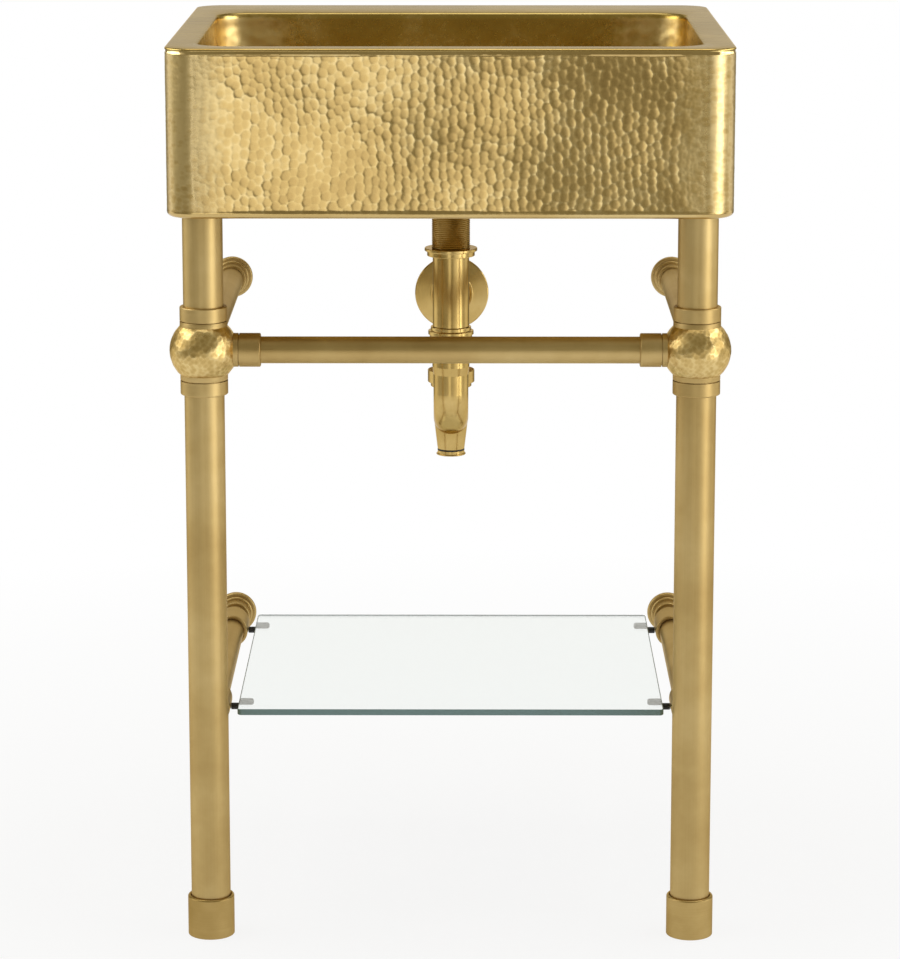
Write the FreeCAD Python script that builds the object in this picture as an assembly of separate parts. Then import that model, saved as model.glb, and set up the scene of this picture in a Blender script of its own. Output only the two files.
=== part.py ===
import FreeCAD
import Part
import math
import os

# A brass console vanity: an apron-front basin carried by two ball-jointed legs and four wall rails,
# with a glass shelf and an exposed trap. Sizes are in millimetres. X runs across the front, Y from
# the front towards the wall and Z up. The origin is on the floor, under the middle of the whole.

# Basin
rim_height = 864.0
basin_width = 530.0
basin_depth = 470.0
apron_height = 158.0
sheet = 2.0
apron_corner_radius = 28.0
rim_edge_radius = 1.5
hem_radius = 5.0
hem_width = 20.0
leg_web = 76.0
rim_width = 28.0
rim_ledge = 92.0
bowl_lip_radius = 3.0
bowl_floor_rise = 33.0
bowl_corner_radius = 34.0
bowl_lean = 8.0
bowl_floor_radius = 22.0
floor_fall = 5.0
back_screw_inset = 75.0
back_screw_drop = 70.0
back_screw_diameter = 8.0

# Radial clearances: pieces pushed or screwed together, and pieces that move in use
slip = 0.1
running = 0.35
seat_gap = 0.3

# Legs, ball joints and rails
leg_inset = 32.5
leg_setback = 34.0
leg_diameter = 38.0
leg_wall = 1.6
rail_diameter = 25.4
rail_wall = 1.5
ball_drop = 129.0
ball_diameter = 65.0
ball_wall = 8.5
leg_seat = 18.0
rail_seat = 22.5
leg_collar_wall = 3.5
leg_collar_length = 13.2
rail_collar_wall = 3.3
rail_collar_length = 20.0
ring_width = 4.6
collar_groove = 0.8
collar_bevel = 1.2
spigot_wall = 1.7
spigot_cover = 3.0
shelf_rail_height = 211.0
saddle_wall = 3.8
saddle_neck = 5.0
saddle_depth = 19.0

# Leg fixings and feet
leg_bolt_diameter = 10.0
leg_bolt_grip = 24.0
leg_bolt_head = 17.0
leg_bolt_head_height = 6.4
leg_bolt_flange = 22.0
leg_bolt_flange_height = 2.0
leg_bolt_play = 0.5
leg_plug_length = 30.0
foot_wall = 3.5
foot_height = 40.0
foot_floor = 7.0
foot_edge = 1.0
stud_diameter = 12.0
stud_length = 50.0
stud_socket = 3.5

# Wall flanges
flange_brim = 3.5
flange_thickness = 5.0
flange_edge_radius = 2.0
flange_step = 2.5
flange_step_length = 4.0
flange_hub_wall = 2.8
flange_hub_length = 24.0
hanger_tap_diameter = 6.8
hanger_plug_length = 30.0
set_screw_diameter = 5.0
set_screw_setback = 7.0
set_screw_sink = 0.6

# Glass shelf
shelf_gap = 12.8
shelf_thickness = 6.0
shelf_corner_radius = 4.0
shelf_edge_bevel = 0.6
shelf_setback = 29.0
shelf_wall_gap = 37.0
peg_diameter = 5.0
peg_drop = 3.5
peg_reach = 12.0
peg_inset_front = 46.0
peg_inset_back = 28.0
peg_collar_wall = 4.1
peg_collar_length = 40.0
peg_collar_recess = 1.6
peg_collar_recess_depth = 3.0
sleeve_wall = 0.8
sleeve_end_radius = 2.4

# Drain and stopper
drain_wall = 2.5
drain_hole_play = 1.0
drain_tail = 88.0
drain_flange_diameter = 62.0
drain_flange_thickness = 3.0
drain_seat_margin = 4.0
gasket_diameter = 57.0
gasket_thickness = 4.0
locknut_flats = 50.0
locknut_thickness = 9.0
stopper_diameter = 50.0
stopper_thickness = 3.0
stopper_crown = 2.0
stopper_travel = 9.0
stopper_stem_diameter = 8.0
stopper_stem_length = 62.0
seal_inset = 2.5
seal_thickness = 2.0
seal_width = 4.0
guide_hub_diameter = 17.0
guide_thickness = 12.0
guide_arm_width = 4.0
guide_arms = 3
guide_depth = 26.0

# Trap: its nuts are turned in steps, each a wall round the thread and a length, from the threaded end on
waste_diameter = 31.75
tail_drop = 81.5
tail_step = 2.1
tail_wall = 1.5
tail_flange = 1.5
tail_flange_reach = 1.0
tail_nut_steps = ((7.0, 3.0), (4.5, 5.0))
tail_nut_cover = 3.0
inlet_nut_steps = ((2.6, 7.0), (4.1, 4.0), (1.6, 4.0))
outlet_nut_steps = ((2.5, 4.5), (5.5, 12.5))
trap_nut_cover = 9.0
nut_edge = 0.6
washer_thickness = 1.5
trap_swell = 1.4
trap_wall = 1.7
trap_bend_radius = 30.0
trap_inlet_leg = 61.5
trap_socket_wall = 2.4
trap_socket_length = 34.0
trap_socket_taper = 8.0
trap_outlet_rise = 5.0
trap_outlet_wall = 2.0
boss_wall = 2.6
boss_length = 14.5
plug_overhang = 1.25
plug_head_length = 4.5
plug_lip = 1.6
plug_lip_stand = 1.2
plug_shank_diameter = 21.0
plug_shank_length = 9.0
plug_washer_thickness = 1.2
arm_wall = 1.5
arm_riser = 4.0
arm_bend_radius = 40.0
arm_stub = 36.0
arm_end_draw = 0.875
escutcheon_brim = 16.0
escutcheon_edge = 2.5
escutcheon_rise = 5.0
escutcheon_ring = 3.5
escutcheon_ring_length = 12.0
escutcheon_ring_gap = 3.6
escutcheon_recess = 6.0

# Places worked out from the sizes above
front_y = -(basin_depth + arm_stub) / 2
wall_y = front_y + basin_depth
leg_y = front_y + leg_setback
leg_x = basin_width / 2 - leg_inset
apron_bottom = rim_height - apron_height
ball_height = apron_bottom - ball_drop
deck_bottom = rim_height - sheet
bowl_front = front_y + rim_width
bowl_back = wall_y - rim_ledge
bowl_side = basin_width / 2 - rim_width
drain_y = (bowl_front + bowl_back) / 2
floor_edge = apron_bottom + bowl_floor_rise
drain_floor = floor_edge - floor_fall
floor_under = drain_floor - sheet
drain_bottom = drain_floor - drain_tail
leg_radius = leg_diameter / 2
leg_collar_radius = leg_radius + leg_collar_wall
rail_radius = rail_diameter / 2
rail_collar_radius = rail_radius + rail_collar_wall
ball_radius = ball_diameter / 2
waste_radius = waste_diameter / 2
tail_radius = waste_radius + tail_step
thread_radius = tail_radius + tail_flange_reach
trap_radius = waste_radius + trap_swell
trap_socket_radius = waste_radius + slip + trap_socket_wall
trap_outlet_radius = waste_radius + slip + trap_outlet_wall
trap_inlet_top = drain_bottom - tail_drop
trap_bend_height = trap_inlet_top - trap_inlet_leg
outlet_y = drain_y + 2 * trap_bend_radius
outlet_top = trap_bend_height + trap_outlet_rise
outlet_nut_top = outlet_top - trap_nut_cover + sum(length for wall, length in outlet_nut_steps)
arm_height = outlet_nut_top + arm_riser + arm_bend_radius
boss_radius = plug_shank_diameter / 2 + running + boss_wall
peg_height = shelf_rail_height - peg_drop
peg_radius = peg_diameter / 2
sleeve_radius = peg_radius + sleeve_wall
shelf_side = leg_x - rail_radius - shelf_gap
shelf_front = leg_y + shelf_setback
shelf_back = wall_y - shelf_wall_gap
shelf_bottom = peg_height + sleeve_radius + seat_gap
leg_foot_end = foot_floor + seat_gap
flange_top = drain_floor + drain_flange_thickness
sides = {"left": -1, "right": 1}

up = FreeCAD.Vector(0, 0, 1)
down = FreeCAD.Vector(0, 0, -1)
back = FreeCAD.Vector(0, 1, 0)
across = FreeCAD.Vector(1, 0, 0)


def at(x, y, z):
    """A point."""
    return FreeCAD.Vector(x, y, z)


def rod(radius, length, base, direction=up):
    """A round bar that starts at base and runs along direction."""
    return Part.makeCylinder(radius, length, base, direction)


def tube(radius, wall, length, base, direction=up):
    """A round tube that starts at base and runs along direction."""
    return rod(radius, length, base, direction).cut(rod(radius - wall, length, base, direction))


def hexagon(flats, length, base):
    """An upright six-sided bar, flats across."""
    sides_count = 6
    corner = flats / 2 / math.cos(math.pi / sides_count)
    turn = 2 * math.pi / sides_count
    points = [base + at(corner * math.cos(turn * (i + 0.5)), corner * math.sin(turn * (i + 0.5)), 0)
              for i in range(sides_count)]
    return Part.Face(Part.makePolygon(points + points[:1])).extrude(up * length)


def put(shape, base, direction=up):
    """Turns a shape that was made along Z to point along direction and moves it to base."""
    placed = shape.copy()
    placed.Placement = FreeCAD.Placement(base, FreeCAD.Rotation(up, direction))
    return placed


def turned(profile, base, direction=up):
    """A turned piece from a closed profile of (radius, height) corners; a third value on a corner
    rounds it with that radius."""
    edges = []
    count = len(profile)
    ends = []
    for index, corner in enumerate(profile):
        point = at(corner[0], 0, corner[1])
        if len(corner) == 2:
            ends.append((point, point, None))
            continue
        before = profile[index - 1]
        after = profile[(index + 1) % count]
        towards = (at(before[0], 0, before[1]) - point).normalize()
        away = (at(after[0], 0, after[1]) - point).normalize()
        half = towards.getAngle(away) / 2
        reach = corner[2] / math.tan(half)
        centre = point + (towards + away).normalize() * (corner[2] / math.sin(half))
        middle = centre + (point - centre).normalize() * corner[2]
        ends.append((point + towards * reach, point + away * reach, middle))
    for index, (start, finish, middle) in enumerate(ends):
        if middle is not None:
            edges.append(Part.Arc(start, middle, finish).toShape())
        following = ends[(index + 1) % count][0]
        if finish.distanceToPoint(following) > Part.Precision.confusion():
            edges.append(Part.LineSegment(finish, following).toShape())
    face = Part.Face(Part.Wire(edges))
    return put(face.revolve(at(0, 0, 0), up, 360), base, direction)


def outline(half_width, y_front, y_back, radius, z):
    """A rectangle with rounded corners, level at height z, as eight edges."""
    corners = ((half_width - radius, y_back - radius), (radius - half_width, y_back - radius),
               (radius - half_width, y_front + radius), (half_width - radius, y_front + radius))
    arcs = []
    for quarter, (x, y) in enumerate(corners):
        angles = [math.pi / 2 * (quarter + share) for share in (0, 0.5, 1)]
        arcs.append(Part.Arc(*[at(x + radius * math.cos(a), y + radius * math.sin(a), z) for a in angles]))
    edges = []
    for arc, following in zip(arcs, arcs[1:] + arcs[:1]):
        edges.append(arc.toShape())
        edges.append(Part.LineSegment(arc.EndPoint, following.StartPoint).toShape())
    return Part.Wire(edges)


def split_circle(radius, y, z):
    """A level circle cut into eight arcs that answer to the edges of an outline."""
    corner_share = math.radians(60)
    straight_share = math.pi / 2 - corner_share
    edges = []
    angle = straight_share / 2
    for share in (corner_share, straight_share) * 4:
        points = [at(radius * math.cos(angle + share * part), y + radius * math.sin(angle + share * part), z)
                  for part in (0, 0.5, 1)]
        edges.append(Part.Arc(*points).toShape())
        angle += share
    return Part.Wire(edges)


def level_edges(shape, z):
    """The edges of a shape that lie wholly at height z."""
    near = 0.01
    return [edge for edge in shape.Edges
            if abs(edge.BoundBox.ZMin - z) < near and abs(edge.BoundBox.ZMax - z) < near]


def bowl_space(grow):
    """The space of the bowl, with every wall moved out by grow: leaning walls that round into a floor,
    which falls to a flat seat round the drain."""
    floor_z = floor_edge - grow
    radius = bowl_corner_radius + grow
    top = outline(bowl_side + grow, bowl_front - grow, bowl_back + grow, radius, rim_height)
    foot = outline(bowl_side - bowl_lean + grow, bowl_front + bowl_lean - grow,
                   bowl_back - bowl_lean + grow, radius, floor_z)
    walls = Part.makeLoft([top, foot], True, True)
    walls = walls.makeFillet(bowl_floor_radius + grow, level_edges(walls, floor_z))
    inset = bowl_lean + bowl_floor_radius + sheet
    fall_edge = outline(bowl_side - inset, bowl_front + inset, bowl_back - inset,
                        bowl_corner_radius / 2, floor_z)
    seat_edge = split_circle(drain_flange_diameter / 2 + drain_seat_margin, drain_y, floor_z - floor_fall)
    return walls.fuse(Part.makeLoft([fall_edge, seat_edge], True, True))


def make_bowl():
    """The bowl and the flat rim that is bent out of the same sheet."""
    rim = outline(basin_width / 2, front_y, wall_y, apron_corner_radius, deck_bottom)
    rim = Part.Face(rim).extrude(up * sheet)
    rim = rim.makeFillet(rim_edge_radius, level_edges(rim, rim_height))
    bowl = rim.fuse(bowl_space(sheet)).cut(bowl_space(0))
    lip = [edge for edge in level_edges(bowl, rim_height)
           if edge.BoundBox.YMin > bowl_front - sheet and edge.BoundBox.YMax < bowl_back + sheet]
    bowl = bowl.makeFillet(bowl_lip_radius, lip)
    hole = rod(thread_radius + drain_hole_play, rim_height - floor_under, at(0, drain_y, floor_under))
    return bowl.cut(hole)


def make_apron():
    """The skirt round the bowl, turned in along the bottom, with webs in the front corners for the legs."""
    half = basin_width / 2
    skirt = Part.Face(outline(half, front_y, wall_y, apron_corner_radius, apron_bottom))
    skirt = skirt.extrude(up * (apron_height - sheet))
    skirt = skirt.makeFillet(hem_radius, level_edges(skirt, apron_bottom))
    inner_bottom = apron_bottom + sheet
    room = Part.Face(outline(half - sheet, front_y + sheet, wall_y - sheet,
                             apron_corner_radius - sheet, inner_bottom))
    room = room.extrude(up * apron_height)
    room = room.makeFillet(hem_radius - sheet, level_edges(room, inner_bottom))
    x = half - hem_width
    y0, y1 = front_y + hem_width, wall_y - hem_width
    corners = [at(-x, y0 + leg_web, apron_bottom), at(leg_web - x, y0, apron_bottom),
               at(x - leg_web, y0, apron_bottom), at(x, y0 + leg_web, apron_bottom),
               at(x, y1, apron_bottom), at(-x, y1, apron_bottom)]
    mouth = Part.Face(Part.makePolygon(corners + corners[:1])).extrude(up * apron_height)
    apron = skirt.cut(room).cut(mouth)
    for side in sides.values():
        apron = apron.cut(rod(leg_bolt_diameter / 2 + leg_bolt_play, hem_width,
                              at(side * leg_x, leg_y, apron_bottom - hem_width / 2)))
        apron = apron.cut(rod(back_screw_diameter / 2, hem_width,
                              at(side * (half - back_screw_inset), wall_y - hem_width / 2,
                                 rim_height - back_screw_drop), back))
    return apron


def neck(tube_radius, outer_radius):
    """How far from the ball's centre a port's ring ends, and its threaded spigot's radius."""
    ring_end = math.sqrt(ball_radius ** 2 - outer_radius ** 2) + ring_width
    return ring_end, tube_radius + slip + spigot_wall


def ball_ports(side):
    """The ways that tubes enter a ball joint: tube radius, collar radius and length, seat, direction."""
    leg = (leg_radius, leg_collar_radius, leg_collar_length, leg_seat)
    rail = (rail_radius, rail_collar_radius, rail_collar_length, rail_seat)
    return {"upper": leg + (up,), "lower": leg + (down,),
            "front": rail + (across * -side,), "back": rail + (back,)}


def make_ball(side):
    """A hollow ball joint with a ring and a threaded spigot at each of its four ports."""
    centre = at(side * leg_x, leg_y, ball_height)
    ports = ball_ports(side).values()
    ball = Part.makeSphere(ball_radius, centre)
    for tube_radius, outer, length, seat, direction in ports:
        ring_end, spigot = neck(tube_radius, outer)
        ball = ball.fuse(rod(outer, ring_end, centre, direction))
        ball = ball.fuse(rod(spigot, ring_end + collar_groove + length - spigot_cover, centre, direction))
    ball = ball.cut(Part.makeSphere(ball_radius - ball_wall, centre))
    for tube_radius, outer, length, seat, direction in ports:
        ball = ball.cut(rod(tube_radius + slip, ball_diameter, centre + direction * seat, direction))
    return ball


def make_collar(side, port):
    """The collar nut that closes one port of a ball joint on its tube."""
    tube_radius, outer, length, seat, direction = ball_ports(side)[port]
    ring_end, spigot = neck(tube_radius, outer)
    bore = tube_radius + slip
    room = length - spigot_cover + slip
    profile = [(spigot + slip, 0), (outer, 0), (outer, length, collar_bevel), (bore, length),
               (bore, room), (spigot + slip, room)]
    start = at(side * leg_x, leg_y, ball_height) + direction * (ring_end + collar_groove)
    return turned(profile, start, direction)


def make_saddle(side):
    """The coped socket behind a leg that takes the front end of a shelf rail."""
    centre = at(side * leg_x, leg_y, shelf_rail_height)
    outer = rail_radius + saddle_wall
    bore = rail_radius + slip
    groove = leg_radius + saddle_neck
    end = groove + rail_collar_length
    profile = [(0, 0), (outer, 0), (outer, groove), (outer - collar_groove, groove),
               (outer - collar_groove, groove + collar_groove), (outer, groove + collar_groove),
               (outer, end, collar_bevel), (bore, end), (bore, end - saddle_depth), (0, end - saddle_depth)]
    saddle = turned(profile, centre, back)
    return saddle.cut(rod(leg_radius, 4 * outer, centre - up * 2 * outer))


def shelf_rail_seat():
    """How far behind a leg's axis a shelf rail starts."""
    return leg_radius + saddle_neck + rail_collar_length - saddle_depth


def make_side_rail(side, height, seat):
    """A rail from a leg back to the wall."""
    return tube(rail_radius, rail_wall, wall_y - leg_y - seat, at(side * leg_x, leg_y + seat, height), back)


def peg_places():
    """The middle of each shelf peg along Y."""
    return (shelf_front + peg_inset_front, shelf_back - peg_inset_back)


def peg_hole(side, y):
    """The drill for a peg, from a shelf rail's axis towards the shelf."""
    return rod(peg_radius + slip, rail_diameter, at(side * leg_x, y, peg_height), across * -side)


def make_shelf_rail(side):
    """A lower rail, drilled on its inner side for two shelf pegs."""
    rail = make_side_rail(side, shelf_rail_height, shelf_rail_seat())
    for y in peg_places():
        rail = rail.cut(peg_hole(side, y))
    return rail


def make_peg_collars():
    """The four collars on the shelf rails, each pinned by a peg and recessed at both ends."""
    length, depth = peg_collar_length, peg_collar_recess_depth
    outer, recess, bore = [rail_radius + wall for wall in (peg_collar_wall, peg_collar_recess, slip)]
    profile = [(recess, 0), (outer, 0, collar_bevel), (outer, length, collar_bevel), (recess, length),
               (recess, length - depth), (bore, length - depth), (bore, depth), (recess, depth)]
    collars = []
    for side in sides.values():
        for y in peg_places():
            collar = turned(profile, at(side * leg_x, y - length / 2, shelf_rail_height), back)
            collars.append(collar.cut(peg_hole(side, y)))
    return collars


def peg_span():
    """The lengths from a shelf rail's axis to a peg's bare end and to its sleeve's start."""
    return rail_radius + shelf_gap + peg_reach, rail_radius + peg_collar_wall + seat_gap


def make_pegs():
    """The four pegs that carry the shelf, each fixed through its collar in a rail."""
    length = peg_span()[0]
    return [rod(peg_radius, length, at(side * leg_x, y, peg_height), across * -side)
            for side in sides.values() for y in peg_places()]


def make_sleeves():
    """The rubber sleeves on the pegs, closed and rounded at the end."""
    end, start = peg_span()
    bore = peg_radius + slip / 2
    length = end - start
    profile = [(bore, 0), (sleeve_radius, 0), (sleeve_radius, length + 2 * sleeve_wall, sleeve_end_radius),
               (0, length + 2 * sleeve_wall), (0, length + slip), (bore, length + slip)]
    return [turned(profile, at(side * (leg_x - start), y, peg_height), across * -side)
            for side in sides.values() for y in peg_places()]


def make_shelf():
    """The glass shelf, with ground edges."""
    glass = Part.Face(outline(shelf_side, shelf_front, shelf_back, shelf_corner_radius, shelf_bottom))
    glass = glass.extrude(up * shelf_thickness)
    rims = level_edges(glass, shelf_bottom) + level_edges(glass, shelf_bottom + shelf_thickness)
    return glass.makeChamfer(shelf_edge_bevel, rims)


def make_flange(side, height):
    """A stepped wall flange on the end of a rail."""
    bore = rail_radius + slip
    hub = rail_radius + flange_hub_wall
    step = hub + flange_step
    disc = step + flange_brim
    step_end = flange_thickness + flange_step_length
    profile = [(bore, 0), (disc, 0), (disc, flange_thickness, flange_edge_radius), (step, flange_thickness),
               (step, step_end, flange_edge_radius), (hub, step_end),
               (hub, flange_hub_length, collar_bevel), (bore, flange_hub_length)]
    flange = turned(profile, at(side * leg_x, wall_y, height), back * -1)
    return flange.cut(rod(set_screw_diameter / 2 + slip, disc, screw_seat(side, height), down))


def screw_seat(side, height):
    """The point on a rail's axis above its flange's set screw."""
    return at(side * leg_x, wall_y - flange_hub_length + set_screw_setback, height)


def make_set_screws():
    """The headless screws under the flanges, which press on the rails."""
    length = flange_hub_wall - slip - set_screw_sink
    return [rod(set_screw_diameter / 2, length,
                screw_seat(side, height) + down * (rail_radius + slip), down)
            for side in sides.values() for height in (ball_height, shelf_rail_height)]


def make_hanger_plugs():
    """The plugs in the rails' wall ends, tapped for hanger bolts."""
    radius = rail_radius - rail_wall - slip
    return [tube(radius, radius - hanger_tap_diameter / 2, hanger_plug_length,
                 at(side * leg_x, wall_y, height), back * -1)
            for side in sides.values() for height in (ball_height, shelf_rail_height)]


def make_leg_plugs(top, hole):
    """The plugs inside the legs' ends that finish at height top, bored for a bolt or stud."""
    radius = leg_radius - leg_wall - slip
    return [tube(radius, radius - hole, leg_plug_length, at(side * leg_x, leg_y, top - leg_plug_length))
            for side in sides.values()]


def make_leg_bolts():
    """The flanged bolts that hold the basin's corner webs down on the legs."""
    seat = apron_bottom + sheet
    bolts = []
    for side in sides.values():
        base = at(side * leg_x, leg_y, seat)
        bolt = rod(leg_bolt_diameter / 2, leg_bolt_grip, base, down)
        bolt = bolt.fuse(rod(leg_bolt_flange / 2, leg_bolt_flange_height, base))
        head = hexagon(leg_bolt_head, leg_bolt_flange_height + leg_bolt_head_height, base)
        bolts.append(bolt.fuse(head).removeSplitter())
    return bolts


def make_foot(side):
    """A ferrule foot: a cup that runs up and down on the leg's end."""
    outer, bore = leg_radius + foot_wall, leg_radius + running
    shoulder = outer - bore - foot_edge
    socket = stud_diameter / 2 + slip
    profile = [(0, 0), (outer, 0, foot_edge), (outer, foot_height, shoulder),
               (bore + foot_edge, foot_height), (bore, foot_height - foot_edge), (bore, foot_floor),
               (socket, foot_floor), (socket, foot_floor - stud_socket), (0, foot_floor - stud_socket)]
    return turned(profile, at(side * leg_x, leg_y, 0))


def make_foot_stud(side):
    """The levelling stud that stands in a foot and screws into the leg's plug."""
    return rod(stud_diameter / 2, stud_length, at(side * leg_x, leg_y, foot_floor - stud_socket))


def make_drain_body():
    """The drain's flange in the bowl and its threaded tail."""
    bore = thread_radius - drain_wall
    flange = drain_flange_diameter / 2
    profile = [(bore, drain_bottom), (thread_radius, drain_bottom), (thread_radius, drain_floor),
               (flange, drain_floor), (flange, flange_top, drain_flange_thickness / 2), (bore, flange_top)]
    return turned(profile, at(0, drain_y, 0))


def make_gasket():
    """The rubber ring that seals the drain under the bowl."""
    radius = gasket_diameter / 2
    return tube(radius, radius - thread_radius - slip, gasket_thickness,
                at(0, drain_y, floor_under - gasket_thickness))


def make_locknut():
    """The nut that clamps the drain in the bowl."""
    base = at(0, drain_y, floor_under - gasket_thickness - locknut_thickness)
    nut = hexagon(locknut_flats, locknut_thickness, base)
    return nut.cut(rod(thread_radius + slip, locknut_thickness, base))


def make_stopper():
    """The push stopper, shown open: a crowned cap on its stem."""
    under = flange_top + seat_gap + stopper_travel + seal_thickness
    cap, stem = stopper_diameter / 2, stopper_stem_diameter / 2
    top = under + stopper_thickness
    rise = (cap ** 2 + stopper_crown ** 2) / (2 * stopper_crown)
    plate = turned([(0, under), (cap, under), (cap, top), (0, top)], at(0, drain_y, 0))
    crown = Part.makeSphere(rise, at(0, drain_y, top + stopper_crown - rise))
    crown = crown.common(rod(cap, stopper_crown, at(0, drain_y, top)))
    return plate.fuse([crown, rod(stem, stopper_stem_length, at(0, drain_y, under), down)]).removeSplitter()


def make_seal():
    """The seal under the stopper's cap."""
    return tube(stopper_diameter / 2 - seal_inset, seal_width, seal_thickness,
                at(0, drain_y, flange_top + seat_gap + stopper_travel))


def make_guide():
    """The spider in the drain that guides the stopper's stem."""
    base = at(0, drain_y, flange_top - guide_depth - guide_thickness)
    bore = thread_radius - drain_wall - slip
    guide = rod(guide_hub_diameter / 2, guide_thickness, base)
    for index in range(guide_arms):
        arm = Part.makeBox(bore, guide_arm_width, guide_thickness, at(0, -guide_arm_width / 2, 0))
        arm.rotate(at(0, 0, 0), up, 360 / guide_arms * index)
        arm.translate(base)
        guide = guide.fuse(arm)
    guide = guide.common(rod(bore, guide_thickness, base))
    return guide.cut(rod(stopper_stem_diameter / 2 + running, guide_thickness, base)).removeSplitter()


def socket_floor():
    """The height at which the tail tube's spigot stands in the trap's socket."""
    return trap_inlet_top - trap_socket_length


def make_tail():
    """The tube from the drain down into the trap, with a flange that its nut lifts and a spigot below."""
    top = drain_bottom - washer_thickness
    nut_top = trap_inlet_top - trap_nut_cover + sum(length for wall, length in inlet_nut_steps)
    shoulder = nut_top + seat_gap
    low = socket_floor() + seat_gap
    bore, spigot_bore = tail_radius - tail_wall, waste_radius - tail_wall
    profile = [(spigot_bore, low), (waste_radius, low), (waste_radius, shoulder), (tail_radius, shoulder),
               (tail_radius, top - tail_flange), (thread_radius, top - tail_flange), (thread_radius, top),
               (bore, top), (bore, shoulder + tail_wall), (spigot_bore, shoulder + tail_wall)]
    return turned(profile, at(0, drain_y, 0))


def make_trap():
    """The trap's bend: a swelled inlet socket, a half turn, a short outlet and a tapered cleanout boss."""
    bore, seat = trap_radius - trap_wall, waste_radius + slip
    socket_low = socket_floor()
    inlet_start = at(0, drain_y, trap_bend_height)
    outlet_start = at(0, outlet_y, trap_bend_height)
    pivot = at(0, drain_y + trap_bend_radius, trap_bend_height)
    boss_low, boss_high = boss_end(), trap_bend_height - trap_bend_radius

    def half_turn(radius):
        section = Part.Face(Part.Wire(Part.makeCircle(radius, inlet_start)))
        return section.revolve(pivot, across, 180)

    swell = turned([(0, trap_bend_height), (trap_radius, trap_bend_height),
                    (trap_radius, socket_low - trap_socket_taper), (trap_socket_radius, socket_low),
                    (trap_socket_radius, trap_inlet_top), (0, trap_inlet_top)], at(0, drain_y, 0))
    outlet = rod(trap_outlet_radius, trap_outlet_rise, outlet_start)
    boss_axis = at(0, drain_y + trap_bend_radius, 0)
    boss = turned([(0, boss_low), (boss_radius, boss_low), (trap_radius, boss_high), (0, boss_high)],
                  boss_axis)
    port = boss_radius - boss_wall
    port_top = boss_low + plug_shank_length
    way_in = turned([(0, boss_low), (port, boss_low), (port, port_top), (bore, boss_high), (0, boss_high)],
                    boss_axis)
    trap = half_turn(trap_radius).fuse([swell, outlet, boss])
    trap = trap.cut(half_turn(bore))
    trap = trap.cut(rod(bore, trap_inlet_leg, inlet_start))
    trap = trap.cut(rod(seat, trap_socket_length, at(0, drain_y, socket_low)))
    trap = trap.cut(rod(seat, trap_outlet_rise, outlet_start))
    return trap.cut(way_in).removeSplitter()


def trap_joints():
    """The trap's nutted joints by nut: steps, place along Y, height of the threaded end and its radius,
    how far the nut covers it, radius of the held tube, thickness of its flange, way from thread to tube."""
    return {
        "tail_nut": (tail_nut_steps, drain_y, drain_bottom, thread_radius, tail_nut_cover,
                     tail_radius, tail_flange, down),
        "trap_inlet_nut": (inlet_nut_steps, drain_y, trap_inlet_top, trap_socket_radius, trap_nut_cover,
                           waste_radius, 0, up),
        "trap_outlet_nut": (outlet_nut_steps, outlet_y, outlet_top, trap_outlet_radius, trap_nut_cover,
                            waste_radius, 0, up),
    }


def make_trap_nut(steps, y, end, thread, cover, tube_radius, flange, way):
    """A turned nut that draws a tube to a threaded end."""
    bore = tube_radius + slip
    room = cover + washer_thickness + flange + slip
    profile = [(thread + slip, 0)]
    height = 0
    for wall, length in steps:
        profile += [(thread + wall, height, nut_edge), (thread + wall, height + length, nut_edge)]
        height += length
    profile += [(bore, height), (bore, room), (thread + slip, room)]
    return turned(profile, at(0, y, end) - way * cover, way)


def make_trap_washer(steps, y, end, thread, cover, tube_radius, flange, way):
    """The ring that a trap nut squeezes between the threaded end and the tube."""
    inner = tube_radius + slip if flange == 0 else tube_radius - tail_wall
    return tube(thread, thread - inner, washer_thickness, at(0, y, end), way)


def boss_end():
    """The height of the cleanout boss's open end."""
    return trap_bend_height - trap_bend_radius - trap_radius - boss_length


def make_cleanout_plug():
    """The lipped plug that closes the cleanout."""
    head, shank = boss_radius + plug_overhang, plug_shank_diameter / 2
    seat = boss_end() - plug_washer_thickness - 2 * seat_gap
    low = seat - plug_head_length
    profile = [(0, low), (head, low, plug_lip / 2), (head, low + plug_lip, plug_lip / 2),
               (head - plug_lip_stand, low + plug_lip), (head - plug_lip_stand, seat), (shank, seat),
               (shank, seat + plug_shank_length), (0, seat + plug_shank_length)]
    return turned(profile, at(0, drain_y + trap_bend_radius, 0))


def make_cleanout_washer():
    """The sealing ring that the cleanout plug carries."""
    shank = plug_shank_diameter / 2 + slip
    return tube(boss_radius, boss_radius - shank, plug_washer_thickness,
                at(0, drain_y + trap_bend_radius, boss_end() - plug_washer_thickness - seat_gap))


def make_trap_arm():
    """The bent tube from the trap's outlet up and back through the wall, where its end is drawn to size."""
    turn_low = arm_height - arm_bend_radius
    start = at(0, outlet_y, turn_low)
    pivot = at(0, outlet_y + arm_bend_radius, turn_low)
    riser_low = trap_bend_height + seat_gap
    run_start = at(0, outlet_y + arm_bend_radius, arm_height)
    run = wall_y - outlet_y - arm_bend_radius

    def solid(radius):
        section = Part.Face(Part.Wire(Part.makeCircle(radius, start)))
        elbow = section.revolve(pivot, across, -90)
        return elbow.fuse([rod(radius, turn_low - riser_low, at(0, outlet_y, riser_low)),
                           rod(radius, run, run_start, back),
                           rod(radius - arm_end_draw, arm_stub, at(0, wall_y, arm_height), back)])

    return solid(waste_radius).cut(solid(waste_radius - arm_wall)).removeSplitter()


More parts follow.
